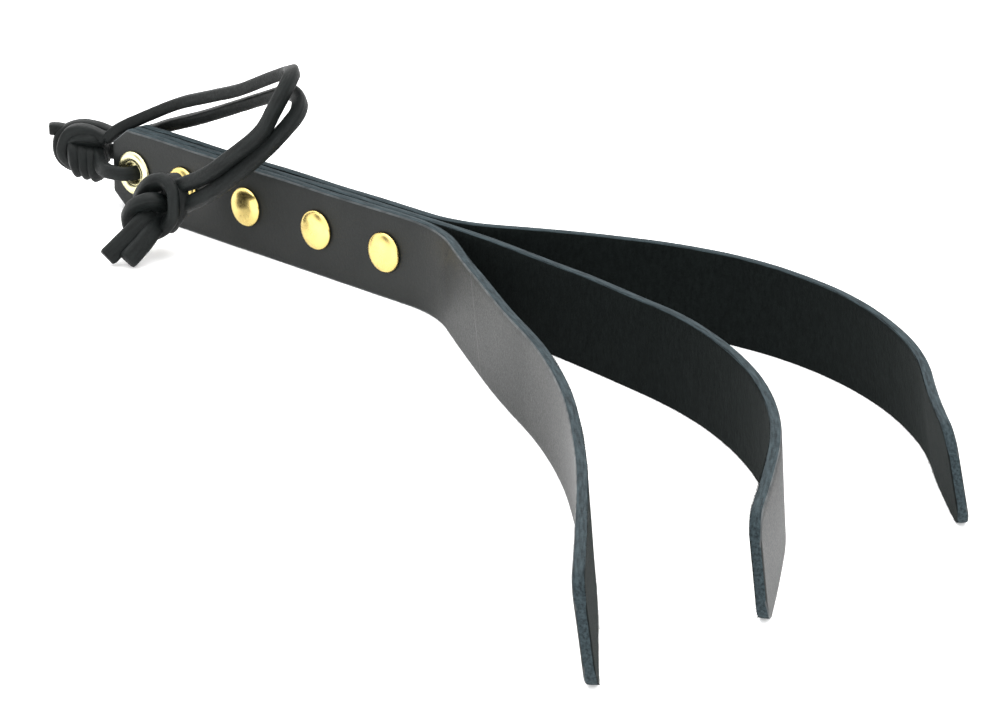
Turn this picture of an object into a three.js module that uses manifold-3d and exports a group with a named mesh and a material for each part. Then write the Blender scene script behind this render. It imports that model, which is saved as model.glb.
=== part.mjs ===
// A leather strap swatter: three straps riveted flat against each other as a handle and splaying into
// three curled tails, with a brass eyelet at the butt and a knotted lace wrist thong.
//
// Millimetres, +Z up.  X runs along the handle from the butt towards the tails, Y across the stack of
// straps, and the straps stand on their lower edges on z = 0.  The origin is under the first rivet.
import * as THREE from 'three';
import { mergeVertices } from 'three/addons/utils/BufferGeometryUtils.js';
import Module from 'manifold-3d';

const wasm = await Module();
wasm.setup();

// ---- the straps ----
const STRAP_WIDTH = 25.4;
const STRAP_THICKNESS = 2.7;
const LAYER_GAP = 0.3;
const LAYER_PITCH = STRAP_THICKNESS + LAYER_GAP;
const STACK_HALF = 1.5 * STRAP_THICKNESS + LAYER_GAP;
const MID_HEIGHT = STRAP_WIDTH / 2;
const BUTT_X = -31;
const CHAMFER_LENGTH = 6.5;
const CHAMFER_HEIGHT = 5;
const TIP_RADIUS = 6;
const STRAIGHT_LENGTH = 123;
const HINGE_S = 131;
const ROOT_RADIUS = STRAP_THICKNESS / 2;
const ROOT_GAP = 0.3;
const LEAN_START_S = 190;
const TAIL_STEP = 5;

// Each strap is a straight grip followed by arcs: [length along the strap, turn in degrees].
// `lean` is how far the upper edge of the tip leans sideways from the lower edge.
const STRAPS = {
  front: {
    layer: -1,
    lean: -4,
    arcs: [[STRAIGHT_LENGTH, 0], [22, -34], [40, 2], [26, 4], [50, -14], [50, -7], [44, -2]],
  },
  middle: {
    layer: 0,
    lean: -3.5,
    arcs: [[STRAIGHT_LENGTH, 0], [50, -6], [40, -3], [60, -31], [40, -18], [36, -2]],
  },
  back: {
    layer: 1,
    lean: -6,
    arcs: [[STRAIGHT_LENGTH, 0], [22, 33], [44, -9], [60, -38], [60, -35], [35, 6]],
  },
};

// ---- the rivets and the eyelet ----
const RIVET_X = [0, 27, 55.8, 82.5];
const RIVET_HEIGHT = 13.5;
const CAP_RADIUS = 5.85;
const CAP_DOME = 1.9;
const CAP_RIM = 0.35;
const CAP_BEVEL = 0.3;
const POST_RADIUS = 1.6;
const POST_HOLE_RADIUS = 1.9;
const SOCKET_RADIUS = 2;
const SOCKET_DEPTH = 1.2;
const POST_INTO_SOCKET = 0.9;
const SEAT_GAP = 0.05;
const EYELET_X = -21;
const EYELET_HOLE_RADIUS = 3.5;
const EYELET_BARREL_RADIUS = 3.9;
const EYELET_STRAP_HOLE_RADIUS = 4.2;
const EYELET_RADIUS = 6.8;
const EYELET_RISE = 1.25;
const WASHER_THICKNESS = 0.8;
const LIP_RADIUS = 5.2;

// ---- the wrist thong ----
const LACE_RADIUS = 2.1;
const LACE_SIDES = 8;
const LACE_STEP = 7;
const INNER_KNOT = { centre: [-45, -1, 13], radii: [9, 8, 9] };
const END_KNOT = { centre: [7.8, -21, 14], radii: [9, 8, 9] };

// ---- colours ----
const STRAP_LEATHER = { color: 0x2f3132, roughness: 0.55, metalness: 0 };
const LACE_LEATHER = { color: 0x17191a, roughness: 0.6, metalness: 0 };
const RIVET_BRASS = { color: 0xd9b04a, roughness: 0.25, metalness: 1 };
const EYELET_BRASS = { color: 0xd8c47e, roughness: 0.3, metalness: 1 };

/** Gives a geometry one shared vertex per corner, no empty triangles, and outward faces. */
function closed(geometry) {
  geometry.deleteAttribute('normal');
  geometry.deleteAttribute('uv');
  const welded = mergeVertices(geometry, 1e-4);
  const position = welded.attributes.position;
  const corners = [];
  const a = new THREE.Vector3();
  const b = new THREE.Vector3();
  const c = new THREE.Vector3();
  let volume = 0;
  for (let i = 0; i < welded.index.count; i += 3) {
    const triangle = [0, 1, 2].map((k) => welded.index.getX(i + k));
    if (new Set(triangle).size < 3) continue;
    a.fromBufferAttribute(position, triangle[0]);
    b.fromBufferAttribute(position, triangle[1]);
    c.fromBufferAttribute(position, triangle[2]);
    volume += a.dot(b.cross(c));
    corners.push(triangle);
  }
  if (volume < 0) corners.forEach((triangle) => triangle.reverse());
  welded.setIndex(corners.flat());
  return welded;
}

/** Cuts a list of solids out of another. */
function cut(geometry, cutters) {
  const solid = (g) => new wasm.Manifold(new wasm.Mesh({
    numProp: 3,
    vertProperties: new Float32Array(g.attributes.position.array),
    triVerts: new Uint32Array(g.index.array),
  }));
  let body = solid(closed(geometry));
  cutters.forEach((cutter) => {
    body = body.subtract(solid(closed(cutter)));
  });
  const mesh = body.getMesh();
  const result = new THREE.BufferGeometry();
  result.setAttribute('position', new THREE.BufferAttribute(new Float32Array(mesh.vertProperties), 3));
  result.setIndex(Array.from(mesh.triVerts));
  return result;
}

/** The place and heading on a strap's centre line, `s` millimetres from the butt. */
function alongStrap(strap, s) {
  let x = BUTT_X;
  let y = strap.layer * LAYER_PITCH;
  let heading = 0;
  let left = s;
  for (const [length, degrees] of strap.arcs) {
    const run = Math.min(left, length);
    const turn = THREE.MathUtils.degToRad(degrees) * (run / length);
    const chord = turn === 0 ? run : (2 * run * Math.sin(turn / 2)) / turn;
    x += chord * Math.cos(heading + turn / 2);
    y += chord * Math.sin(heading + turn / 2);
    heading += turn;
    left -= run;
    if (left <= 0) break;
  }
  return { x, y, heading };
}

/** The full cut length of a strap. */
function strapLength(strap) {
  return strap.arcs.reduce((total, [length]) => total + length, 0);
}

/** Half the strap's width at `s`: bevelled corners at the butt, round corners at the tip. */
function halfWidth(strap, s) {
  const full = STRAP_WIDTH / 2;
  const fromTip = strapLength(strap) - s;
  if (s < CHAMFER_LENGTH) return full - CHAMFER_HEIGHT * (1 - s / CHAMFER_LENGTH);
  if (fromTip < TIP_RADIUS) {
    const inset = TIP_RADIUS - fromTip;
    return full - TIP_RADIUS + Math.sqrt(Math.max(0, TIP_RADIUS ** 2 - inset ** 2));
  }
  return full;
}

/** Half the strap's thickness at `s`: a tail has a round root, so that it turns clear of the grip. */
function halfThickness(s, rootS) {
  const fromRoot = s - rootS;
  if (rootS > 0 && fromRoot < ROOT_RADIUS) {
    return Math.sqrt(ROOT_RADIUS ** 2 - (ROOT_RADIUS - fromRoot) ** 2);
  }
  return STRAP_THICKNESS / 2;
}

/** Bends a straight block of leather, with one slice at every station, along the strap's path. */
function bentStrap(strap, stations, rootS) {
  const geometry = new THREE.BoxGeometry(1, 1, 1, stations.length - 1, 1, 1);
  const position = geometry.attributes.position;
  const length = strapLength(strap);
  for (let i = 0; i < position.count; i += 1) {
    const s = stations[Math.round((position.getX(i) + 0.5) * (stations.length - 1))];
    const { x, y, heading } = alongStrap(strap, s);
    const z = MID_HEIGHT + 2 * position.getZ(i) * halfWidth(strap, s);
    const leaning = Math.max(0, (s - LEAN_START_S) / (length - LEAN_START_S));
    const across = 2 * position.getY(i) * halfThickness(s, rootS)
      + strap.lean * leaning * (z / STRAP_WIDTH);
    position.setXYZ(i, x - across * Math.sin(heading), y + across * Math.cos(heading), z);
  }
  return geometry;
}

/** A cylinder across the whole stack of straps, for a hole. */
function holeCutter(x, z, radius) {
  const cutter = new THREE.CylinderGeometry(radius, radius, 4 * STACK_HALF, 24);
  cutter.translate(x, 0, z);
  return cutter;
}

/** The riveted part of a strap, from the butt to its flexing line. */
function grip(strap) {
  const end = HINGE_S - ROOT_RADIUS - ROOT_GAP;
  const stations = [0, CHAMFER_LENGTH, STRAIGHT_LENGTH, (STRAIGHT_LENGTH + end) / 2, end];
  const holes = RIVET_X.map((x) => holeCutter(x, RIVET_HEIGHT, POST_HOLE_RADIUS));
  holes.push(holeCutter(EYELET_X, MID_HEIGHT, EYELET_STRAP_HOLE_RADIUS));
  return cut(bentStrap(strap, stations, 0), holes);
}

/** The free tail of a strap, from its flexing line to the rounded tip. */
function tail(strap) {
  const root = HINGE_S - ROOT_RADIUS;
  const length = strapLength(strap);
  const stations = [0.12, 0.4, 1].map((part) => root + part * ROOT_RADIUS);
  const steps = Math.round((length - TIP_RADIUS - HINGE_S) / TAIL_STEP);
  for (let i = 1; i <= steps; i += 1) {
    stations.push(HINGE_S + (i * (length - TIP_RADIUS - HINGE_S)) / steps);
  }
  for (const degrees of [22, 42, 60, 76, 90]) {
    const reach = Math.sin(THREE.MathUtils.degToRad(degrees));
    stations.push(length - TIP_RADIUS + TIP_RADIUS * reach);
  }
  return closed(bentStrap(strap, stations, root));
}

/** The rounded top of a rivet cap as profile points, from the rim to the axis. */
function domeProfile() {
  const points = [new THREE.Vector2(CAP_RADIUS - CAP_BEVEL, 0), new THREE.Vector2(CAP_RADIUS, CAP_RIM)];
  const steps = 7;
  for (let i = 1; i <= steps; i += 1) {
    const angle = (i / steps) * (Math.PI / 2);
    const rise = CAP_RIM + (CAP_DOME - CAP_RIM) * Math.sin(angle);
    points.push(new THREE.Vector2(i === steps ? 0 : CAP_RADIUS * Math.cos(angle), rise));
  }
  return points;
}

/** The front half of a rivet: a domed cap on a post that goes through all three straps. */
function rivetFront(x) {
  const reach = 2 * STACK_HALF + SEAT_GAP + POST_INTO_SOCKET;
  const post = [[0, -reach], [POST_RADIUS, -reach], [POST_RADIUS, 0]];
  const profile = post.map(([r, y]) => new THREE.Vector2(r, y)).concat(domeProfile());
  const geometry = new THREE.LatheGeometry(profile, 28);
  geometry.rotateX(Math.PI);
  geometry.translate(x, -STACK_HALF - SEAT_GAP, RIVET_HEIGHT);
  return closed(geometry);
}

/** The back half of a rivet: a domed cap with the socket that grips the post. */
function rivetBack(x) {
  const socket = [[0, SOCKET_DEPTH], [SOCKET_RADIUS, SOCKET_DEPTH], [SOCKET_RADIUS, 0]];
  const profile = socket.map(([r, y]) => new THREE.Vector2(r, y)).concat(domeProfile());
  const geometry = new THREE.LatheGeometry(profile, 28);
  geometry.translate(x, STACK_HALF + SEAT_GAP, RIVET_HEIGHT);
  return closed(geometry);
}

/** The eyelet: a rounded flange on the front face, a barrel through the straps and a rolled lip. */
function eyelet() {
  const washerEnd = -(2 * STACK_HALF + 2 * SEAT_GAP + WASHER_THICKNESS);
  const lipStart = washerEnd - 2 * SEAT_GAP;
  const lipEnd = lipStart - 0.7;
  const profile = [
    [EYELET_HOLE_RADIUS, EYELET_RISE - 0.3],
    [EYELET_HOLE_RADIUS, lipEnd + 0.3],
    [EYELET_BARREL_RADIUS, lipEnd],
    [LIP_RADIUS - 0.2, lipEnd + 0.15],
    [LIP_RADIUS, lipStart],
    [EYELET_BARREL_RADIUS, lipStart],
    [EYELET_BARREL_RADIUS, 0],
    [EYELET_RADIUS - 0.3, 0],
    [EYELET_RADIUS, 0.35],
    [EYELET_RADIUS - 0.4, EYELET_RISE - 0.3],
    [LIP_RADIUS, EYELET_RISE],
    [EYELET_BARREL_RADIUS + 0.3, EYELET_RISE - 0.05],
    [EYELET_HOLE_RADIUS, EYELET_RISE - 0.3],
  ].map(([r, y]) => new THREE.Vector2(r, y));
  const geometry = new THREE.LatheGeometry(profile, 32);
  geometry.rotateX(Math.PI);
  geometry.translate(EYELET_X, -STACK_HALF - SEAT_GAP, MID_HEIGHT);
  return closed(geometry);
}

/** The washer that the eyelet's lip is rolled over on the back face. */
function eyeletWasher() {
  const inner = EYELET_BARREL_RADIUS + 0.3;
  const outer = EYELET_RADIUS - 0.2;
  const profile = [
    [inner, 0], [outer - 0.2, 0], [outer, 0.3], [outer - 0.3, WASHER_THICKNESS],
    [inner, WASHER_THICKNESS], [inner, 0],
  ].map(([r, y]) => new THREE.Vector2(r, y));
  const geometry = new THREE.LatheGeometry(profile, 32);
  geometry.translate(EYELET_X, STACK_HALF + SEAT_GAP, MID_HEIGHT);
  return closed(geometry);
}

/** A length of lace swept through a few route points. */
function lace(points) {
  const route = new THREE.CatmullRomCurve3(points.map((point) => new THREE.Vector3(...point)));
  const section = new THREE.Shape();
  for (let i = 0; i < LACE_SIDES; i += 1) {
    const angle = (i / LACE_SIDES) * 2 * Math.PI;
    const corner = [LACE_RADIUS * Math.cos(angle), LACE_RADIUS * Math.sin(angle)];
    if (i === 0) section.moveTo(...corner);
    else section.lineTo(...corner);
  }
  const steps = Math.max(3, Math.round(route.getLength() / LACE_STEP));
  return closed(new THREE.ExtrudeGeometry(section, { steps, extrudePath: route, bevelEnabled: false }));
}

/** A pulled-up knot, as a plain rounded lump that is round about Y. */
function knot({ centre, radii }) {
  const geometry = new THREE.SphereGeometry(1, 20, 12);
  geometry.scale(...radii);
  geometry.translate(...centre);
  return closed(geometry);
}

const THONG_BIGHT = [
  [-37, -7.5, 13], [-32, -9, 13], [-27, -9, 13], [-22.5, -7.5, MID_HEIGHT], [-21, -3, MID_HEIGHT],
  [-21, 3, MID_HEIGHT], [-22.5, 7.5, MID_HEIGHT], [-27, 9.5, 13], [-32, 9, 13], [-37, 6.5, 13],
];
const THONG_STUB = [[-54.5, -0.5, 15.5], [-59, -0.5, 16.5], [-63.5, 0, 17]];
const THONG_UPPER = [
  [-37, -1, 19], [-33, 0.5, 23], [-25, 6, 28], [-14, 8, 33.5], [-0.5, 8, 38.5],
  [13, 7, 43.5], [29, 4, 51], [39.5, 1, 55.5], [46, -4, 57.5], [48.5, -8, 56],
  [46.5, -11.5, 48.5], [43.5, -14, 41.5], [35.5, -17.5, 33.5], [27, -20, 26.5], [15.5, -20.5, 20.5],
];
const THONG_LOWER = [
  [-38, 6, 17.5], [-35.5, 8, 19], [-29.5, 10, 21], [-21.5, 10.5, 24.5], [-8.5, 11, 29.5],
  [5.5, 10.5, 35.5], [20.5, 8.5, 42], [35, 4, 48], [45.5, -2, 50.5], [51, -6, 49.5],
  [51, -8.5, 46], [44.5, -12.5, 37], [36.5, -16.5, 28.5], [27.5, -19.5, 21], [17.5, -21, 15],
];
const THONG_TAIL_LEFT = [[5.5, -29.5, 9], [5.5, -34, 5.5], [6, -39, 2.5]];
const THONG_TAIL_RIGHT = [[11, -29, 9.5], [13.5, -34.5, 6], [16.5, -39.5, 2.5]];

const swatter = new THREE.Group();
swatter.name = 'strap_swatter';

function add(name, geometry, look) {
  const mesh = new THREE.Mesh(geometry, new THREE.MeshStandardMaterial(look));
  mesh.name = name;
  geometry.computeVertexNormals();
  swatter.add(mesh);
}

for (const [name, strap] of Object.entries(STRAPS)) {
  add(`${name}_strap_grip`, grip(strap), STRAP_LEATHER);
  add(`${name}_strap_tail`, tail(strap), STRAP_LEATHER);
}
RIVET_X.forEach((x, i) => {
  add(`rivet_${i + 1}_front`, rivetFront(x), RIVET_BRASS);
  add(`rivet_${i + 1}_back`, rivetBack(x), RIVET_BRASS);
});
add('eyelet_flange', eyelet(), EYELET_BRASS);
add('eyelet_washer', eyeletWasher(), EYELET_BRASS);
add('thong_bight', lace(THONG_BIGHT), LACE_LEATHER);
add('thong_inner_knot', knot(INNER_KNOT), LACE_LEATHER);
add('thong_stub_end', lace(THONG_STUB), LACE_LEATHER);
add('thong_upper_strand', lace(THONG_UPPER), LACE_LEATHER);
add('thong_lower_strand', lace(THONG_LOWER), LACE_LEATHER);
add('thong_end_knot', knot(END_KNOT), LACE_LEATHER);
add('thong_tail_left', lace(THONG_TAIL_LEFT), LACE_LEATHER);
add('thong_tail_right', lace(THONG_TAIL_RIGHT), LACE_LEATHER);

export default swatter;
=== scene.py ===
"""Looks for the three-tail leather swatter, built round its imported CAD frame.

Metres, +Z up: X runs along the handle from the butt to the tails, Y goes across the stack of straps
from the front one to the back one, and the straps stand on their lower edges on z = 0.
"""

import math

import bmesh
import bpy
from mathutils import Matrix, Vector, noise


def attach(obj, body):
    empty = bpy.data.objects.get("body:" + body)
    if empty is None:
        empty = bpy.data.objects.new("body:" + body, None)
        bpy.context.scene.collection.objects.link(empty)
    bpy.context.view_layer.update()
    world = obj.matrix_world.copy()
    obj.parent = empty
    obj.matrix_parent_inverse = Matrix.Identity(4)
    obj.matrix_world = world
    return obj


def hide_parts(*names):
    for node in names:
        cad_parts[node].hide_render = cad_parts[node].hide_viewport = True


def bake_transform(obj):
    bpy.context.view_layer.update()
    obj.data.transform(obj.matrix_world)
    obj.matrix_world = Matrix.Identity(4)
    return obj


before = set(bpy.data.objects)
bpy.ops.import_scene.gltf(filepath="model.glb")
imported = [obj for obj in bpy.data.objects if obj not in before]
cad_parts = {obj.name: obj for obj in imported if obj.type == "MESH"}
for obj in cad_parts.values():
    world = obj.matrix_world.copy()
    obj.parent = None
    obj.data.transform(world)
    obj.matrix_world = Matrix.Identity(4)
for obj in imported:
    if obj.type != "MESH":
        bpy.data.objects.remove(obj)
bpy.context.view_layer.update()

MM = 0.001

# ---- camera ----
CAMERA_PLACE = Vector((0.5889, -0.53725, 0.2737))
CAMERA_YAW = math.radians(-40.97)
CAMERA_PITCH = math.radians(-21.57)
CAMERA_ROLL = math.radians(1.46)
CAMERA_LENS = 100.8
SENSOR_WIDTH = 36.0

# ---- straps ----
STRAP_WIDTH = 25.4 * MM
STRAP_THICKNESS = 2.7 * MM
LAYER_PITCH = 3.0 * MM
HALF_THICKNESS = STRAP_THICKNESS / 2
MID_HEIGHT = STRAP_WIDTH / 2
BUTT_X = -31 * MM
CHAMFER_LENGTH = 6.5 * MM
CHAMFER_HEIGHT = 5 * MM
TIP_RADIUS = 6 * MM
LEAN_START = 190 * MM
FLEX_S = 131 * MM
FLEX_REACH = 34 * MM
STATION_STEP = 1.5 * MM
ROWS = 14
CORNER_POINTS = 5
GRAIN_BEVEL = 0.55 * MM
FLESH_BEVEL = 0.2 * MM
EDGE_CROWN = 0.05 * MM
END_EASE_LENGTH = 0.5 * MM
END_EASE_DEPTH = 0.3 * MM
FACE_WAVER = 0.10 * MM
UPPER_EDGE_WAVER = 0.35 * MM
CUT_WAVER = 0.06 * MM
CREASE_FOOT = 175.5 * MM
CREASE_SLANT = -0.5
CREASE_WIDTH = 0.25 * MM

# ---- loose fibres on the flesh side's edges ----
FIBRE_START = 20 * MM
FIBRE_SPACING = 0.33 * MM
FIBRE_RADIUS = 0.07 * MM
FIBRE_REACH = 0.9 * MM

# Arcs are (millimetres along the strap, turn in degrees), from the butt to the tip, and the first one is
# the riveted stretch. Layer and grain count from the middle strap: -1 is to the front, 1 to the back, and
# grain is the side of the smooth face. Lean is how far the top of the tip lies towards the back.
STRAIGHT = (123, 0)
STRAPS = {
    "front": {
        "layer": -1,
        "grain": -1,
        "lean": -4 * MM,
        "arcs": [STRAIGHT, (22, -34), (40, 2), (26, 4), (50, -14), (50, -7), (44, -2)],
    },
    "middle": {
        "layer": 0,
        "grain": 1,
        "lean": -3.5 * MM,
        "arcs": [STRAIGHT, (50, -6), (40, -3), (60, -31), (40, -18), (36, -2)],
    },
    "back": {
        "layer": 1,
        "grain": 1,
        "lean": -6 * MM,
        "arcs": [STRAIGHT, (22, 33), (44, -9), (60, -38), (60, -35), (35, 6)],
    },
}

# ---- rivets and eyelet ----
RIVET_X = [0, 27 * MM, 55.8 * MM, 82.5 * MM]
RIVET_HEIGHT = 13.5 * MM
CAP_RADIUS = 5.85 * MM
CAP_RISE = 1.9 * MM
CAP_RIM = 0.45 * MM
CAP_SEGMENTS = 64
DISH_DEPTH = 0.3 * MM
DISH_REACH = 4 * MM
EYELET_X = -21 * MM
EYELET_BARREL = 3.5 * MM
EYELET_BARREL_OUTER = 3.9 * MM
EYELET_FLANGE = 6.8 * MM
EYELET_RISE = 1.3 * MM
EYELET_LIP = 5.2 * MM
EYELET_LIP_THICKNESS = 0.5 * MM
EYELET_HOLE = 4.2 * MM
WASHER_RADIUS = 6.6 * MM
WASHER_THICKNESS = 0.8 * MM
STACK_HALF = 1.5 * STRAP_THICKNESS + 0.3 * MM

# ---- lace ----
LACE_WIDTH = 4.3 * MM
LACE_DEPTH = 3.7 * MM
LACE_STEP = 0.8 * MM
LACE_SIDES = 16
LACE_SQUARENESS = 0.5
FLAT_WIDTH = 5.6 * MM


def route(*points):
    """Route points, given in millimetres, in metres."""
    return [Vector(point) * MM for point in points]


BIGHT = route(
    (-42, -1.5, 16), (-39, -3.5, 14.5), (-35.5, -5.5, 13), (-32, -7.5, 12.5), (-28, -8.5, 12.5),
    (-22.5, -7.5, 12.7), (-21, -3, 12.7), (-21, 3, 12.7), (-22.5, 7.5, 12.7), (-27, 9.5, 13),
    (-32, 9, 13), (-37, 6.5, 13), (-41, 3, 13.5), (-45, 0, 13.5),
)
UPPER_STRAND = route(
    (-37, -1, 19), (-33, 0.5, 23), (-25, 6, 28), (-14, 8, 33.5), (-0.5, 8, 38.5),
    (13, 7, 43.5), (29, 4, 51), (39.5, 1, 55.5), (46, -4, 57.5), (48.5, -8, 56),
    (46.5, -11.5, 48.5), (43.5, -14, 41.5), (35.5, -17.5, 33.5), (27, -20, 26.5), (15.5, -20.5, 20.5),
)
LOWER_STRAND = route(
    (-38, 6, 17.5), (-35.5, 8, 19), (-29.5, 10, 21), (-21.5, 10.5, 24.5), (-8.5, 11, 29.5),
    (5.5, 10.5, 35.5), (20.5, 8.5, 42), (35, 4, 48), (45.5, -2, 50.5), (51, -6, 49.5),
    (51, -8.5, 46), (44.5, -12.5, 37), (36.5, -16.5, 28.5), (27.5, -19.5, 21), (17.5, -21, 15),
)


def make_camera():
    """A long lens from the front right, a little above the swatter."""
    forward = Vector((
        math.sin(CAMERA_YAW) * math.cos(CAMERA_PITCH),
        math.cos(CAMERA_YAW) * math.cos(CAMERA_PITCH),
        math.sin(CAMERA_PITCH),
    ))
    level_right = Vector((math.cos(CAMERA_YAW), -math.sin(CAMERA_YAW), 0))
    level_up = level_right.cross(forward)
    right = level_right * math.cos(CAMERA_ROLL) + level_up * math.sin(CAMERA_ROLL)
    up = level_up * math.cos(CAMERA_ROLL) - level_right * math.sin(CAMERA_ROLL)
    camera = bpy.data.objects.new("camera", bpy.data.cameras.new("camera"))
    camera.data.lens = CAMERA_LENS
    camera.data.sensor_width = SENSOR_WIDTH
    camera.data.clip_start = 0.01
    camera.data.clip_end = 50
    turn = Matrix((right, up, -forward)).transposed().to_4x4()
    camera.matrix_world = Matrix.Translation(CAMERA_PLACE) @ turn
    bpy.context.scene.collection.objects.link(camera)
    bpy.context.scene.camera = camera


# ---- materials ----
def new_material(name):
    """A new material, with its node tree and its Principled shader."""
    material = bpy.data.materials.new(name)
    material.use_nodes = True
    tree = material.node_tree
    return material, tree, tree.nodes["Principled BSDF"]


def local_coordinates(tree, scale):
    """Coordinates stored on the mesh when it was still flat, stretched by scale."""
    place = tree.nodes.new("ShaderNodeAttribute")
    place.attribute_name = "flat_place"
    mapping = tree.nodes.new("ShaderNodeMapping")
    mapping.inputs["Scale"].default_value = scale
    tree.links.new(place.outputs["Vector"], mapping.inputs["Vector"])
    return mapping.outputs["Vector"]


def noise_node(tree, vector, scale, detail=3.0, roughness=0.5):
    """A noise texture on those coordinates; its output is near 0.5 on average."""
    node = tree.nodes.new("ShaderNodeTexNoise")
    node.inputs["Scale"].default_value = scale
    node.inputs["Detail"].default_value = detail
    node.inputs["Roughness"].default_value = roughness
    tree.links.new(vector, node.inputs["Vector"])
    return node.outputs["Fac"]


def ramp(tree, factor, stops):
    """A colour ramp through (position, colour) stops."""
    node = tree.nodes.new("ShaderNodeValToRGB")
    elements = node.color_ramp.elements
    while len(elements) < len(stops):
        elements.new(0.5)
    for element, (position, colour) in zip(elements, stops):
        element.position = position
        element.color = (*colour, 1)
    tree.links.new(factor, node.inputs["Fac"])
    return node.outputs["Color"]


def map_range(tree, factor, low, high):
    """The factor's middle range, 0.3 to 0.7, spread from low to high."""
    node = tree.nodes.new("ShaderNodeMapRange")
    node.inputs["From Min"].default_value = 0.3
    node.inputs["From Max"].default_value = 0.7
    node.inputs["To Min"].default_value = low
    node.inputs["To Max"].default_value = high
    tree.links.new(factor, node.inputs["Value"])
    return node.outputs["Result"]


def math_node(tree, operation, first, second):
    """One arithmetic node; each operand is a socket or a number."""
    node = tree.nodes.new("ShaderNodeMath")
    node.operation = operation
    for socket, value in zip(node.inputs, (first, second)):
        if isinstance(value, (int, float)):
            socket.default_value = value
        else:
            tree.links.new(value, socket)
    return node.outputs["Value"]


def mix_colour(tree, factor, below, above):
    """The colour above laid over the one below where factor is 1."""
    node = tree.nodes.new("ShaderNodeMix")
    node.data_type = "RGBA"
    tree.links.new(factor, node.inputs["Factor"])
    tree.links.new(below, node.inputs["A"])
    node.inputs["B"].default_value = (*above, 1)
    return node.outputs["Result"]


def bump(tree, height, strength, distance, below=None):
    """A bump from a height, on top of another bump where one is given."""
    node = tree.nodes.new("ShaderNodeBump")
    node.inputs["Strength"].default_value = strength
    node.inputs["Distance"].default_value = distance
    tree.links.new(height, node.inputs["Height"])
    if below is not None:
        tree.links.new(below, node.inputs["Normal"])
    return node.outputs["Normal"]


def crease_line(tree, place, foot, slant):
    """1 along a fine line across the strap, 0 elsewhere: it leaves the lower edge at foot, slanting."""
    split = tree.nodes.new("ShaderNodeSeparateXYZ")
    tree.links.new(place, split.inputs["Vector"])
    wander = noise_node(tree, place, 160, 2)
    height = math_node(tree, "MULTIPLY", split.outputs["Z"], slant)
    off = math_node(tree, "SUBTRACT", split.outputs["X"], height)
    off = math_node(tree, "SUBTRACT", off, foot)
    off = math_node(tree, "ADD", off, math_node(tree, "MULTIPLY", wander, 1.2 * MM))
    near = math_node(tree, "DIVIDE", math_node(tree, "ABSOLUTE", off, 0), CREASE_WIDTH)
    return math_node(tree, "MAXIMUM", math_node(tree, "SUBTRACT", 1, near), 0)


def grain_leather(name, creased):
    """The smooth dyed face: satin, fine pebbled grain, faint scuffs and cloudy dye."""
    material, tree, shader = new_material(name)
    place = local_coordinates(tree, (1, 1, 1))
    cloud = noise_node(tree, place, 45, 4)
    speckle = noise_node(tree, place, 2600, 2)
    pebble = noise_node(tree, place, 900, 3, 0.6)
    colour = ramp(tree, cloud, [(0.3, (0.0075, 0.0088, 0.0085)), (0.7, (0.013, 0.0145, 0.014))])
    if creased:
        crease = crease_line(tree, place, CREASE_FOOT, CREASE_SLANT)
        colour = mix_colour(tree, crease, colour, (0.09, 0.09, 0.09))
    tree.links.new(colour, shader.inputs["Base Color"])
    tree.links.new(map_range(tree, speckle, 0.40, 0.52), shader.inputs["Roughness"])
    shader.inputs["Specular IOR Level"].default_value = 0.2
    low = bump(tree, pebble, 0.45, 0.00012)
    tree.links.new(bump(tree, speckle, 0.35, 0.00006, low), shader.inputs["Normal"])
    return material


def bevel_leather():
    """The rounded corner of the grain side, rubbed a little paler and glossier than the face."""
    material, tree, shader = new_material("strap_bevel")
    place = local_coordinates(tree, (1, 1, 1))
    rub = noise_node(tree, place, 240, 4)
    colour = ramp(tree, rub, [(0.35, (0.012, 0.016, 0.018)), (0.65, (0.045, 0.052, 0.055))])
    tree.links.new(colour, shader.inputs["Base Color"])
    tree.links.new(map_range(tree, rub, 0.55, 0.38), shader.inputs["Roughness"])
    shader.inputs["Specular IOR Level"].default_value = 0.4
    tree.links.new(bump(tree, noise_node(tree, place, 900, 3), 0.4, 0.00015), shader.inputs["Normal"])
    return material


def flesh_leather():
    """The fibrous back of the hide: nearly black, matt, with streaks across the strap."""
    material, tree, shader = new_material("strap_flesh")
    place = local_coordinates(tree, (1, 1, 1))
    streaks = noise_node(tree, local_coordinates(tree, (1, 1, 0.5)), 1100, 4, 0.65)
    cloud = noise_node(tree, place, 120, 3)
    fibre = noise_node(tree, place, 2400, 2)
    colour = ramp(tree, streaks, [(0.3, (0.0016, 0.0026, 0.0025)), (0.72, (0.0052, 0.0072, 0.007))])
    tree.links.new(colour, shader.inputs["Base Color"])
    shader.inputs["Roughness"].default_value = 0.95
    shader.inputs["Specular IOR Level"].default_value = 0.08
    shader.inputs["Sheen Weight"].default_value = 0.02
    shader.inputs["Sheen Roughness"].default_value = 0.5
    shader.inputs["Sheen Tint"].default_value = (0.75, 0.9, 0.88, 1)
    low = bump(tree, streaks, 0.6, 0.0004)
    mid = bump(tree, cloud, 0.5, 0.0006, low)
    tree.links.new(bump(tree, fibre, 0.6, 0.00015, mid), shader.inputs["Normal"])
    return material


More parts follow.
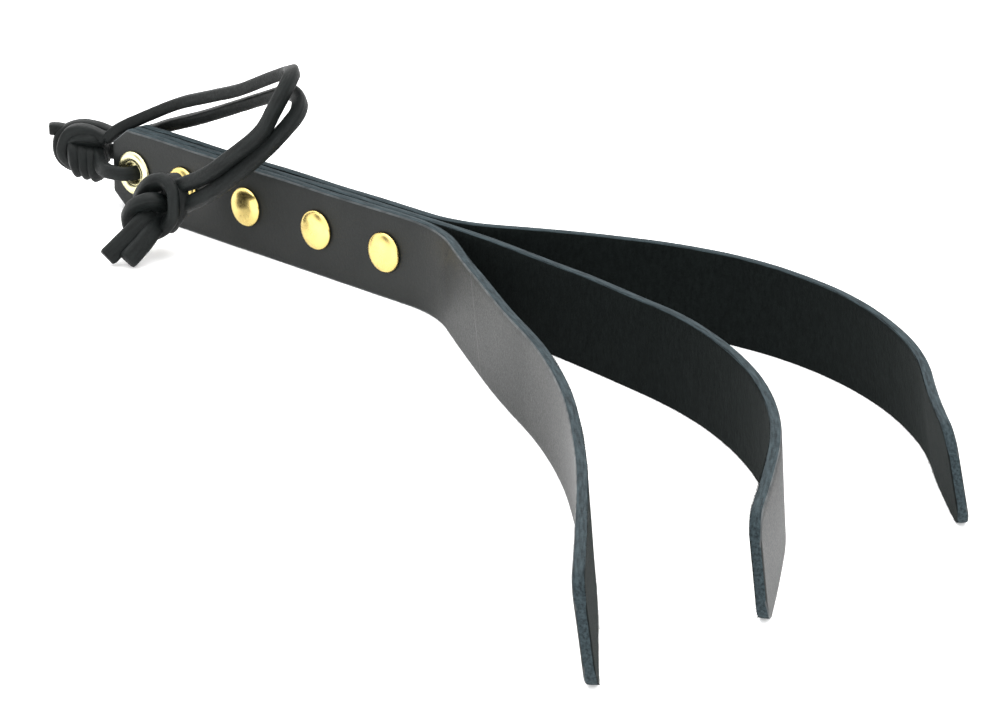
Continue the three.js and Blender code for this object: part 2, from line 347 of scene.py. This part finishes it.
def edge_leather():
    """The cut edge: blue-grey core fibres in fine layers along the strap."""
    material, tree, shader = new_material("strap_edge")
    layers = noise_node(tree, local_coordinates(tree, (0.12, 1, 1)), 1500, 4, 0.6)
    pits = noise_node(tree, local_coordinates(tree, (1, 1, 1)), 1100, 3)
    colour = ramp(tree, layers, [(0.32, (0.006, 0.011, 0.0135)), (0.68, (0.034, 0.05, 0.057))])
    tree.links.new(colour, shader.inputs["Base Color"])
    shader.inputs["Roughness"].default_value = 0.85
    shader.inputs["Specular IOR Level"].default_value = 0.2
    low = bump(tree, layers, 0.7, 0.0003)
    tree.links.new(bump(tree, pits, 0.5, 0.0003, low), shader.inputs["Normal"])
    return material


def lace_leather():
    """Cut lace: black, a little waxy, with lengthwise streaks."""
    material, tree, shader = new_material("lace_leather")
    streaks = noise_node(tree, local_coordinates(tree, (0.2, 1, 1)), 900, 3)
    pits = noise_node(tree, local_coordinates(tree, (1, 1, 1)), 1300, 3)
    colour = ramp(tree, streaks, [(0.3, (0.0014, 0.0023, 0.0022)), (0.72, (0.0065, 0.0086, 0.0084))])
    tree.links.new(colour, shader.inputs["Base Color"])
    tree.links.new(map_range(tree, pits, 0.48, 0.62), shader.inputs["Roughness"])
    shader.inputs["Specular IOR Level"].default_value = 0.17
    low = bump(tree, streaks, 0.5, 0.0003)
    tree.links.new(bump(tree, pits, 0.4, 0.0002, low), shader.inputs["Normal"])
    return material


def brass(name, colour, smudge):
    """Polished brass with light handling marks."""
    material, tree, shader = new_material(name)
    place = tree.nodes.new("ShaderNodeTexCoord").outputs["Object"]
    cloud = noise_node(tree, place, 260, 4)
    fine = noise_node(tree, place, 3000, 2)
    tone = ramp(tree, cloud, [(0.3, tuple(c * smudge for c in colour)), (0.62, colour)])
    tree.links.new(tone, shader.inputs["Base Color"])
    shader.inputs["Metallic"].default_value = 1
    tree.links.new(map_range(tree, cloud, 0.30, 0.20), shader.inputs["Roughness"])
    tree.links.new(bump(tree, fine, 0.06, 0.00005), shader.inputs["Normal"])
    return material


# ---- mesh helpers ----
def make_object(name, vertices, faces, materials, face_materials=None, smooth=True):
    """A mesh object from plain lists, with its materials in order."""
    mesh = bpy.data.meshes.new(name)
    mesh.from_pydata([tuple(v) for v in vertices], [], faces)
    for material in materials:
        mesh.materials.append(material)
    if face_materials:
        mesh.polygons.foreach_set("material_index", face_materials)
    mesh.polygons.foreach_set("use_smooth", [smooth] * len(faces))
    mesh.update()
    obj = bpy.data.objects.new(name, mesh)
    bpy.context.scene.collection.objects.link(obj)
    return obj


def store_flat_place(mesh, places):
    """Keeps each vertex's flat coordinates for the materials."""
    attribute = mesh.attributes.new("flat_place", "FLOAT_VECTOR", "POINT")
    attribute.data.foreach_set("vector", [c for place in places for c in place])


def smooth_noise(x, y, z):
    """Repeatable noise from -1 to 1."""
    return noise.noise(Vector((x, y, z)))


# ---- straps ----
GRAIN, EDGE, FLESH, BEVEL = range(4)


def strap_length(strap):
    """The full cut length of a strap."""
    return sum(length for length, _ in strap["arcs"]) * MM


def along_strap(strap, s):
    """The place and heading on the strap's centre line, s metres from the butt."""
    x = BUTT_X
    y = strap["layer"] * LAYER_PITCH
    heading = 0.0
    left = s
    for length, degrees in strap["arcs"]:
        run = min(left, length * MM)
        turn = math.radians(degrees) * run / (length * MM)
        chord = run if turn == 0 else 2 * run * math.sin(turn / 2) / turn
        x += chord * math.cos(heading + turn / 2)
        y += chord * math.sin(heading + turn / 2)
        heading += turn
        left -= run
        if left <= 0:
            break
    return x, y, heading


def bend_strap(strap, flat):
    """Moves a point of the flat strap, (s, across, height), to its place on the bent one."""
    s, across, height = flat
    length = strap_length(strap)
    x, y, heading = along_strap(strap, max(0.0, min(s, length)))
    beyond = s - max(0.0, min(s, length))
    lean = max(0.0, (s - LEAN_START) / (length - LEAN_START)) * strap["lean"] * height / STRAP_WIDTH
    return Vector((
        x + beyond * math.cos(heading) - math.sin(heading) * (across + lean),
        y + beyond * math.sin(heading) + math.cos(heading) * (across + lean),
        height,
    ))


def half_width(strap, s):
    """Half the strap's height at s: chamfered at the butt, rounded at the tip."""
    half = MID_HEIGHT
    if s < CHAMFER_LENGTH:
        half -= CHAMFER_HEIGHT * (1 - s / CHAMFER_LENGTH)
    past = s - (strap_length(strap) - TIP_RADIUS)
    if past > 0:
        half -= TIP_RADIUS - math.sqrt(max(0.0, TIP_RADIUS ** 2 - past ** 2))
    return half


def strap_stations(strap):
    """Distances along the strap, closer together at the two ends."""
    length = strap_length(strap)
    ends = [0.0, 0.15 * MM, 0.5 * MM]
    tip = [length - TIP_RADIUS * (1 - math.sin(math.radians(a))) for a in range(0, 90, 10)]
    body_end = length - TIP_RADIUS
    count = round((body_end - 2 * MM) / STATION_STEP)
    body = [2 * MM + (body_end - 2 * MM) * i / count for i in range(count)]
    return sorted(ends + body + tip + [length - 0.2 * MM, length])


def end_inset(strap, s):
    """How far the faces draw in at the very ends, so that the cut ends are softened."""
    near = min(s, strap_length(strap) - s)
    return max(0.0, 1 - near / END_EASE_LENGTH) ** 2 * END_EASE_DEPTH


def strap_ring(strap, s):
    """One cross-section, once round, as (across, height) pairs; the order is that of strap_zones."""
    inset = end_inset(strap, s)
    half = half_width(strap, s) - inset * 0.5
    thick = HALF_THICKNESS - inset
    grain = strap["grain"]
    points = []
    for i in range(ROWS + 1):
        points.append((grain * thick, (2 * i / ROWS - 1) * (half - GRAIN_BEVEL)))
    corner = []
    for angle in (30, 60, 90):
        turn = math.radians(angle)
        corner.append((
            grain * (thick - GRAIN_BEVEL * (1 - math.cos(turn))),
            half - GRAIN_BEVEL * (1 - math.sin(turn)),
        ))
    corner.append((0.0, half + EDGE_CROWN))
    corner.append((-grain * (thick - FLESH_BEVEL), half))
    points += corner
    for i in range(ROWS + 1):
        points.append((-grain * thick, (1 - 2 * i / ROWS) * (half - FLESH_BEVEL)))
    points += [(across, -height) for across, height in reversed(corner)]
    return points


def strap_zones():
    """The material of each strip of faces round the section: grain, edge, flesh and bevel."""
    upper = [BEVEL] * 2 + [EDGE] * (CORNER_POINTS - 1)
    return [GRAIN] * ROWS + upper + [FLESH] * ROWS + upper[::-1]


def waver(strap, s, across, height):
    """The hand-cut unevenness of a strap's faces and upper edge, in the flat strap."""
    seed = 7.3 * strap["layer"]
    rise = max(0.0, height / MID_HEIGHT) ** 3
    across += FACE_WAVER * smooth_noise(s * 45, height * 60, seed)
    height += rise * UPPER_EDGE_WAVER * smooth_noise(s * 38, seed, 2.0)
    if abs(abs(height) - MID_HEIGHT) < 0.4 * MM:
        across += CUT_WAVER * smooth_noise(s * 900, seed, 5.0)
        height -= CUT_WAVER * abs(smooth_noise(s * 700, across * 900, seed))
    return across, height


def dish(strap, s, across, height):
    """Leather pressed in round the rivet caps on the two outer faces of the stack."""
    if strap["layer"] == 0 or across * strap["layer"] < 0:
        return across
    x = s + BUTT_X
    for rivet_x in RIVET_X:
        reach = math.hypot(x - rivet_x, height + MID_HEIGHT - RIVET_HEIGHT) - CAP_RADIUS
        across -= strap["layer"] * DISH_DEPTH * math.exp(-(max(0.0, reach) / DISH_REACH) ** 2)
    return across


def flat_strap(name, strap, materials):
    """The strap's closed mesh, laid out flat: X along it, Y across, Z up from its mid line."""
    stations = strap_stations(strap)
    rings = [strap_ring(strap, s) for s in stations]
    around = len(rings[0])
    vertices = []
    for s, ring in zip(stations, rings):
        for across, height in ring:
            across, height = waver(strap, s, across, height)
            vertices.append((s, dish(strap, s, across, height), height))
    faces = []
    zones = []
    strip_zones = strap_zones()
    for i in range(len(stations) - 1):
        for j in range(around):
            k = (j + 1) % around
            near = i * around
            far = near + around
            faces.append((near + j, far + j, far + k, near + k))
            zones.append(strip_zones[j])
    for end in (0, len(stations) - 1):
        first = end * around
        flesh = first + ROWS + 1 + CORNER_POINTS
        cap = []
        for i in range(ROWS):
            cap.append((first + i, first + i + 1, flesh + ROWS - i - 1, flesh + ROWS - i))
        cap.append(tuple(range(first + ROWS, flesh + 1)))
        cap.append(tuple(range(flesh + ROWS, first + around)) + (first,))
        faces += cap
        zones += [EDGE] * len(cap)
    return make_object(name, vertices, faces, materials, zones)


def face_outwards(mesh):
    """Turns all faces to point out of the closed mesh."""
    work = bmesh.new()
    work.from_mesh(mesh)
    bmesh.ops.recalc_face_normals(work, faces=work.faces)
    work.to_mesh(mesh)
    work.free()


def punch_eyelet(obj):
    """Cuts the round hole for the eyelet's barrel through the flat strap."""
    around = 40
    reach = 6 * MM
    turns = [2 * math.pi * i / around for i in range(around)]
    rim = [(EYELET_HOLE * math.cos(turn), EYELET_HOLE * math.sin(turn)) for turn in turns]
    s = EYELET_X - BUTT_X
    vertices = [(s + x, side * reach, z) for side in (-1, 1) for x, z in rim]
    faces = [(i, (i + 1) % around, around + (i + 1) % around, around + i) for i in range(around)]
    faces.append(tuple(range(around - 1, -1, -1)))
    faces.append(tuple(range(around, 2 * around)))
    cutter = make_object("hole_cutter", vertices, faces, [])
    face_outwards(cutter.data)
    modifier = obj.modifiers.new("punch", "BOOLEAN")
    modifier.operation = "DIFFERENCE"
    modifier.solver = "EXACT"
    modifier.object = cutter
    bpy.context.view_layer.update()
    cut = bpy.data.meshes.new_from_object(obj.evaluated_get(bpy.context.evaluated_depsgraph_get()))
    obj.modifiers.clear()
    obj.data = cut
    bpy.data.objects.remove(cutter)


def add_fibre(root, out, ahead, reach, vertices, faces):
    """One short bent tapering hair from a root point."""
    side = out.cross(ahead)
    first = len(vertices)
    for share, radius in ((-0.15, 1.0), (0.5, 0.7)):
        centre = root + out * (reach * share) + ahead * (reach * 0.5 * max(0.0, share) ** 2)
        for k in range(3):
            turn = 2 * math.pi * k / 3
            round_it = ahead * math.cos(turn) + side * math.sin(turn)
            vertices.append(centre + round_it * FIBRE_RADIUS * radius)
    vertices.append(root + out * reach * 0.9 + ahead * reach * 0.6)
    faces.append((first + 2, first + 1, first))
    for k in range(3):
        m = (k + 1) % 3
        faces.append((first + k, first + m, first + 3 + m, first + 3 + k))
        faces.append((first + 3 + k, first + 3 + m, first + 6))


def make_fibres(name, strap, material):
    """Loose fibres standing out of the flesh side's edges, thickest at the tip."""
    length = strap_length(strap)
    vertices = []
    faces = []
    seed = 11.7 * (strap["layer"] + 2)
    count = round((length - FIBRE_START) / FIBRE_SPACING)
    for i in range(count):
        s = FIBRE_START + i * FIBRE_SPACING
        for edge in (-1, 1):
            patch = smooth_noise(s * 60, seed, edge * 3.1)
            worn = 0.35 + 0.65 * (s / length) ** 2
            if smooth_noise(i * 1.37, seed, edge * 9.7) > worn * (0.9 + patch):
                continue
            height = edge * (half_width(strap, s) - FLESH_BEVEL * 0.6)
            across = -strap["grain"] * (HALF_THICKNESS - FLESH_BEVEL * (0.4 + 2.5 * max(0.0, patch)))
            lift = 0.9 + 0.5 * smooth_noise(i * 0.71, seed, edge * 5.3)
            out = Vector((0.0, -strap["grain"] * 0.9, edge * lift))
            if edge < 0:
                out.z = -0.12
            ahead = Vector((1.0 if smooth_noise(i * 2.3, seed, edge) > 0 else -1.0, 0, 0))
            reach = FIBRE_REACH * (0.35 + 0.65 * abs(smooth_noise(i * 0.93, seed, 8.0 + edge))) * worn
            add_fibre(Vector((s, across, height)), out.normalized(), ahead, reach, vertices, faces)
    obj = make_object(name + "_strap_fibres", vertices, faces, [material])
    face_outwards(obj.data)
    return obj


def bend_and_blend(obj, strap):
    """Bends the flat mesh to the strap's shape and keeps its flat places for the materials."""
    mesh = obj.data
    flats = [vertex.co.copy() for vertex in mesh.vertices]
    store_flat_place(mesh, flats)
    for vertex, flat in zip(mesh.vertices, flats):
        vertex.co = bend_strap(strap, (flat.x, flat.y, flat.z + MID_HEIGHT))
    mesh.update()
    start = bend_strap(strap, (FLEX_S, 0, MID_HEIGHT))
    end = bend_strap(strap, (FLEX_S + FLEX_REACH, 0, MID_HEIGHT))
    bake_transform(obj)


def make_strap(name, strap, materials):
    """One whole strap, grip and tail, with its loose fibres, in its rest shape."""
    obj = flat_strap(name + "_strap", strap, materials)
    face_outwards(obj.data)
    punch_eyelet(obj)
    bend_and_blend(obj, strap)
    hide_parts(name + "_strap_grip", name + "_strap_tail")
    bend_and_blend(make_fibres(name, strap, materials[FLESH]), strap)


# ---- brass ----
def lathe(name, profile, segments, place, towards, material):
    """A turned piece: (radius, rise) pairs spun about Y, rising towards -Y (-1) or +Y (1).

    A profile that ends where it starts gives a ring, any other a solid with two flat ends.
    """
    vertices = []
    faces = []
    for radius, rise in profile:
        for i in range(segments):
            turn = 2 * math.pi * i / segments
            vertices.append(place + Vector((
                radius * math.cos(turn), towards * rise, radius * math.sin(turn))))
    for i in range(len(profile) - 1):
        for j in range(segments):
            k = (j + 1) % segments
            near = i * segments
            far = near + segments
            faces.append((near + j, near + k, far + k, far + j))
    hollow = profile[0] == profile[-1]
    if not hollow:
        faces.append(tuple(range(segments)))
        faces.append(tuple(range((len(profile) - 1) * segments, len(profile) * segments)))
    obj = make_object(name, vertices, faces, [material])
    if hollow:
        weld(obj.data)
    face_outwards(obj.data)
    return obj


def weld(mesh):
    """Joins vertices that lie on each other."""
    work = bmesh.new()
    work.from_mesh(mesh)
    bmesh.ops.remove_doubles(work, verts=work.verts, dist=1e-7)
    work.to_mesh(mesh)
    work.free()


def cap_profile():
    """A rivet cap from its seat to its crown: a rolled rim, then a low dome."""
    profile = [(CAP_RADIUS - 0.35 * MM, 0.0), (CAP_RADIUS - 0.08 * MM, 0.08 * MM)]
    profile.append((CAP_RADIUS, 0.25 * MM))
    profile.append((CAP_RADIUS - 0.06 * MM, CAP_RIM))
    for angle in range(8, 90, 6):
        turn = math.radians(angle)
        radius = (CAP_RADIUS - 0.1 * MM) * math.cos(turn)
        profile.append((radius, CAP_RIM + (CAP_RISE - CAP_RIM) * math.sin(turn)))
    profile.append((0.05 * MM, CAP_RISE))
    return profile


def make_rivet(index, x, material):
    """The two caps of a rivet, one on each side of the stack."""
    for side, word in ((-1, "front"), (1, "back")):
        place = Vector((x, side * (STACK_HALF - 0.12 * MM), RIVET_HEIGHT))
        name = f"rivet_{index}_{word}_cap"
        cap = lathe(name, cap_profile(), CAP_SEGMENTS, place, side, material)
        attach(cap, "handle")
        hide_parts(f"rivet_{index}_{word}")


def eyelet_profile():
    """The eyelet's section, closed: barrel, rolled lip at the back, and a half-round flange in front."""
    seat = 0.02 * MM
    edge = 0.25 * MM
    lip_end = -2 * STACK_HALF - WASHER_THICKNESS - EYELET_LIP_THICKNESS - 0.1 * MM
    lip_start = lip_end + EYELET_LIP_THICKNESS
    profile = [
        (EYELET_BARREL, EYELET_RISE - 0.45 * MM),
        (EYELET_BARREL, lip_start),
        (EYELET_BARREL + 0.15 * MM, lip_end + 0.15 * MM),
        (EYELET_BARREL_OUTER + 0.2 * MM, lip_end),
        (EYELET_LIP - 0.3 * MM, lip_end + 0.05 * MM),
        (EYELET_LIP, lip_end + 0.3 * MM),
        (EYELET_LIP - 0.1 * MM, lip_start),
        (EYELET_BARREL_OUTER, lip_start),
        (EYELET_BARREL_OUTER, seat),
        (EYELET_FLANGE - 0.2 * MM, seat),
        (EYELET_FLANGE, edge),
    ]
    middle = (EYELET_FLANGE + EYELET_BARREL) / 2
    reach = (EYELET_FLANGE - EYELET_BARREL) / 2
    for angle in range(15, 180, 15):
        turn = math.radians(angle)
        rise = edge + (EYELET_RISE - edge) * math.sin(turn) ** 0.8
        profile.append((middle + reach * math.cos(turn), rise))
    return profile + profile[:1]


def washer_profile():
    """The washer's section, closed, with its outer edge eased."""
    return [
        (EYELET_HOLE, 0.0),
        (WASHER_RADIUS - 0.2 * MM, 0.0),
        (WASHER_RADIUS, 0.3 * MM),
        (WASHER_RADIUS - 0.3 * MM, WASHER_THICKNESS - 0.05 * MM),
        (EYELET_HOLE + 0.1 * MM, WASHER_THICKNESS),
        (EYELET_HOLE, 0.0),
    ]


def make_eyelet(material):
    """The eyelet at the front, and the washer its barrel is rolled over at the back."""
    front = Vector((EYELET_X, -STACK_HALF, MID_HEIGHT))
    back = Vector((EYELET_X, STACK_HALF, MID_HEIGHT))
    flange = lathe("eyelet_ring", eyelet_profile(), CAP_SEGMENTS, front, -1, material)
    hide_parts("eyelet_flange")
    washer = lathe("eyelet_washer_ring", washer_profile(), CAP_SEGMENTS, back, 1, material)
    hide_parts("eyelet_washer")
    for piece in (flange, washer):
        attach(piece, "handle")


# ---- lace ----
def spline(points, step):
    """Evenly spaced points on a smooth curve through the route points."""
    ends = [points[0] * 2 - points[1]] + list(points) + [points[-1] * 2 - points[-2]]
    dense = []
    for i in range(1, len(ends) - 2):
        a, b, c, d = ends[i - 1:i + 3]
        for k in range(24):
            t = k / 24
            dense.append(
                b
                + (c - a) * (0.5 * t)
                + (a * 2 - b * 5 + c * 4 - d) * (0.5 * t ** 2)
                + (b * 3 - a - c * 3 + d) * (0.5 * t ** 3)
            )
    dense.append(points[-1])
    total = sum((q - p).length for p, q in zip(dense, dense[1:]))
    count = max(2, round(total / step))
    even = [dense[0]]
    walked = 0.0
    target = total / count
    for p, q in zip(dense, dense[1:]):
        gap = (q - p).length
        while gap > 0 and walked + gap >= target * len(even) - 1e-12 and len(even) < count:
            even.append(p.lerp(q, (target * len(even) - walked) / gap))
        walked += gap
    even.append(dense[-1])
    return even


def lace_section(seed, s, width):
    """The lace's cross-section: a rounded oblong with slightly uneven cut corners."""
    points = []
    for i in range(LACE_SIDES):
        turn = 2 * math.pi * (i + 0.5) / LACE_SIDES
        c = math.cos(turn)
        n = math.sin(turn)
        x = math.copysign(abs(c) ** LACE_SQUARENESS, c) * width / 2
        y = math.copysign(abs(n) ** LACE_SQUARENESS, n) * LACE_DEPTH / 2
        grow = 1 + 0.035 * smooth_noise(s * 420, seed + 3 * c, 3 * n)
        points.append((x * grow, y * grow))
    return points


def sweep_lace(name, points, side, material, seed, body, width=LACE_WIDTH):
    """Lace swept along a route; its broad face starts out looking to side."""
    path = spline(points, LACE_STEP)
    vertices = []
    places = []
    broad = side
    for i, centre in enumerate(path):
        ahead = (path[min(i + 1, len(path) - 1)] - path[max(i - 1, 0)]).normalized()
        broad = (broad - ahead * broad.dot(ahead)).normalized()
        s = i * LACE_STEP
        flat = ahead.cross(broad)
        scale = 0.9 if i in (0, len(path) - 1) else 1.0
        for x, y in lace_section(seed, s, width):
            vertices.append(centre + (flat * x + broad * y) * scale)
            places.append((s + 0.3 * seed, x, y))
    around = len(vertices) // len(path)
    faces = [tuple(range(around - 1, -1, -1))]
    for i in range(len(path) - 1):
        for j in range(around):
            k = (j + 1) % around
            near = i * around
            far = near + around
            faces.append((near + j, near + k, far + k, far + j))
    faces.append(tuple(range((len(path) - 1) * around, len(path) * around)))
    obj = make_object(name, vertices, faces, [material])
    store_flat_place(obj.data, places)
    face_outwards(obj.data)
    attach(obj, body)
    return obj, path


# Lace inside the knots.
END_KNOT_WRAP = route(
    (9, -22, 13), (5.5, -23, 13), (4.5, -24, 15), (6.5, -24.5, 18), (9.5, -24, 21), (13, -23, 22),
    (16, -23, 20.5), (18, -24, 17.5), (18, -24.5, 13.5), (14.5, -24.5, 9.5), (10, -24, 7),
    (6.5, -23, 7), (7, -21.5, 10),
)
END_KNOT_COLLAR = route(
    (10, -18.5, 13), (7.5, -17.5, 16.5), (9, -18.5, 20), (13, -19.5, 22), (17, -21, 20.5),
    (19, -22, 18), (18.5, -22.5, 14.5), (16, -22.5, 11), (12.5, -21.5, 8), (9, -19, 8),
    (8.5, -18, 11.5),
)
END_KNOT_LOOP = route(
    (11.5, -20.5, 11.5), (12.5, -23.5, 15), (12.5, -27, 17), (10.5, -29, 16.5), (8, -30, 14.5),
    (6, -30, 11.5), (5, -28.5, 8.5), (5, -25.5, 6),
)
END_KNOT_TURN = route(
    (15, -20, 20.5), (11.5, -21, 17), (11, -24, 14), (9.5, -25, 11.5), (9, -23.5, 8),
)
CUT_END_LEFT = route(
    (11, -23, 13), (11, -27, 12), (11, -30, 11), (10.5, -33.5, 8.5), (9.5, -37.5, 5.5),
    (8.5, -41.5, 2.4),
)
CUT_END_RIGHT = route(
    (16.5, -20, 14.5), (13.5, -21.5, 12), (12.5, -24.5, 10.5), (14, -29.5, 8.5), (14.5, -33.5, 6),
    (14.5, -39, 2.4),
)
INNER_WRAP = route(
    (-37, -1, 19), (-39.5, -2.5, 20), (-41.5, -4, 21), (-44, -6, 21.5), (-46.5, -7.5, 20.5),
    (-48, -8.5, 18), (-48.5, -9, 14.5), (-48.5, -7, 11.5), (-48.5, -4, 9.5), (-46, -2.5, 11.5),
)
INNER_WRAP_BEHIND = route(
    (-36.5, 6, 18), (-40.5, 4, 19), (-44, 1.5, 20.5), (-48, -1, 21), (-51, -4, 20),
    (-53, -6, 17.5), (-53, -7, 14.5), (-52, -6.5, 11), (-50.5, -3.5, 8.5), (-47.5, -2, 9.5),
)
INNER_TUCK = route(
    (-41.5, 1.5, 11.5), (-40, -1, 15.5), (-40, -3.5, 18.5), (-42, -5.5, 19), (-44.5, -7, 18.5),
    (-47, -7, 16.5), (-49, -6, 13.5),
)
INNER_DROP = route(
    (-48.5, -4.5, 17), (-45, -8, 16), (-43.5, -9, 13.5), (-43.5, -8.5, 11), (-45, -6, 8.5),
    (-48, -2.5, 8.5), (-50, -1.5, 11.5), (-49.5, -3, 15), (-47.5, -5.5, 16.5),
)
STUB = route(
    (-49, -1.5, 18), (-52, -4, 19), (-54.5, -5.5, 19.5), (-56.5, -7.5, 19.5),
)
DROP_COUNT = 3
DROP_PITCH = Vector((2.2, 1.6, -0.6)) * MM


def make_inner_knot(material):
    """The knot at the butt: two turns over the top, three drops down its front, and a cut end."""
    up = Vector((0, 0, 1))
    wrap, _ = sweep_lace("thong_inner_wrap", INNER_WRAP, up, material, 2, "thong_ring")
    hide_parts("thong_inner_knot")
    sweep_lace("thong_inner_back", INNER_WRAP_BEHIND, up, material, 11, "thong_ring")
    sweep_lace("thong_inner_tuck", INNER_TUCK, up, material, 12, "thong_ring")
    for i in range(DROP_COUNT):
        drop = [point + DROP_PITCH * i for point in INNER_DROP]
        sweep_lace(f"thong_inner_drop_{i + 1}", drop, Vector((0, -1, 0)), material, 3 + i, "thong_ring")
    stub, _ = sweep_lace("thong_stub", STUB, up, material, 6, "thong_ring")
    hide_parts("thong_stub_end")


def make_end_knot(material):
    """The knot at the far end of the wrist loop, with its two cut ends resting on the floor."""
    up = Vector((0, 0, 1))
    outward = Vector((0.6, -0.7, 0.3))
    wrap, _ = sweep_lace("thong_end_wrap", END_KNOT_WRAP, outward, material, 7, "thong_loop", FLAT_WIDTH)
    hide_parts("thong_end_knot")
    collar, _ = sweep_lace("thong_end_collar", END_KNOT_COLLAR, up, material, 8, "thong_loop")
    over, _ = sweep_lace("thong_end_over", END_KNOT_LOOP, outward, material, 9, "thong_loop", FLAT_WIDTH)
    turn, _ = sweep_lace("thong_end_turn", END_KNOT_TURN, up, material, 10, "thong_loop")
    left, _ = sweep_lace("thong_end_left", CUT_END_LEFT, outward, material, 13, "thong_loop", FLAT_WIDTH)
    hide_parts("thong_tail_left")
    right, _ = sweep_lace("thong_end_right", CUT_END_RIGHT, outward, material, 14, "thong_loop", FLAT_WIDTH)
    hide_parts("thong_tail_right")
    return [wrap, collar, over, turn, left, right]


def make_thong(material):
    """The lace: through the eyelet, knotted at the butt, round the wrist loop, knotted again."""
    up = Vector((0, 0, 1))
    bight, _ = sweep_lace("thong_bight_lace", BIGHT, Vector((0, -1, 0)), material, 1, "thong_ring")
    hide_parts("thong_bight")
    make_inner_knot(material)
    upper, upper_path = sweep_lace("thong_upper_lace", UPPER_STRAND, up, material, 15, "thong_loop")
    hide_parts("thong_upper_strand")
    lower, lower_path = sweep_lace("thong_lower_lace", LOWER_STRAND, up, material, 16, "thong_loop")
    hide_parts("thong_lower_strand")
    knot = make_end_knot(material)


# ---- floor and light ----
FLOOR_REACH = 4.0
WORLD_STRENGTH = 2.0
DIM_PANEL = Vector((-0.44, -0.84, 0.3))
OVERHEAD_PLACE = (-0.1, 0.1, 1.3)
OVERHEAD_TARGET = (0.1, 0, 0)
OVERHEAD_SIZE = 1.6
OVERHEAD_POWER = 14


def make_floor():
    """A plain pale floor that runs out of sight. It glows a little, which is painted light that fades the
    shadows round the object.
    """
    material, tree, shader = new_material("pale_glowing_floor")
    shader.inputs["Base Color"].default_value = (0.88, 0.88, 0.88, 1)
    shader.inputs["Roughness"].default_value = 0.9
    shader.inputs["Specular IOR Level"].default_value = 0.1
    # Painted light: a faint white glow on the floor washes out the soft shadows round the object.
    shader.inputs["Emission Color"].default_value = (1, 1, 1, 1)
    shader.inputs["Emission Strength"].default_value = 0.3
    corners = [
        (-FLOOR_REACH, -FLOOR_REACH, 0),
        (FLOOR_REACH, -FLOOR_REACH, 0),
        (FLOOR_REACH, FLOOR_REACH, 0),
        (-FLOOR_REACH, FLOOR_REACH, 0),
    ]
    make_object("floor", corners, [(0, 1, 2, 3)], [material])


def soft_light(name, place, target, size, power):
    """A large square light that looks at a point."""
    light = bpy.data.lights.new(name, "AREA")
    light.shape = "SQUARE"
    light.size = size
    light.energy = power
    lamp = bpy.data.objects.new(name, light)
    lamp.location = place
    lamp.rotation_mode = "QUATERNION"
    lamp.rotation_quaternion = (Vector(target) - Vector(place)).to_track_quat("-Z", "Y")
    bpy.context.scene.collection.objects.link(lamp)


def make_light():
    """Soft white light from all round and above, with one dim panel low on the front left."""
    world = bpy.data.worlds.new("studio")
    bpy.context.scene.world = world
    world.use_nodes = True
    tree = world.node_tree
    place = tree.nodes.new("ShaderNodeTexCoord")
    towards = tree.nodes.new("ShaderNodeVectorMath")
    towards.operation = "DOT_PRODUCT"
    towards.inputs[1].default_value = DIM_PANEL.normalized()
    tree.links.new(place.outputs["Generated"], towards.inputs[0])
    panel = ramp(tree, towards.outputs["Value"], [(0.955, (1.0, 1.0, 1.0)), (0.985, (0.1, 0.1, 0.1))])
    tree.links.new(panel, tree.nodes["Background"].inputs["Color"])
    tree.nodes["Background"].inputs["Strength"].default_value = WORLD_STRENGTH
    soft_light("overhead", OVERHEAD_PLACE, OVERHEAD_TARGET, OVERHEAD_SIZE, OVERHEAD_POWER)


def make_object_looks():
    """The whole swatter with its materials: straps, rivets, eyelet and thong."""
    plain_grain = grain_leather("strap_grain", creased=False)
    creased_grain = grain_leather("front_strap_grain", creased=True)
    others = [edge_leather(), flesh_leather(), bevel_leather()]
    for name, strap in STRAPS.items():
        grain = creased_grain if name == "front" else plain_grain
        make_strap(name, strap, [grain, *others])
    rivet_brass = brass("rivet_brass", (0.80, 0.62, 0.22), 0.85)
    for index, x in enumerate(RIVET_X, 1):
        make_rivet(index, x, rivet_brass)
    make_eyelet(brass("eyelet_brass", (0.82, 0.76, 0.45), 0.9))
    make_thong(lace_leather())


make_camera()
make_object_looks()
make_floor()
make_light()
bpy.context.scene.view_settings.view_transform = "Standard"
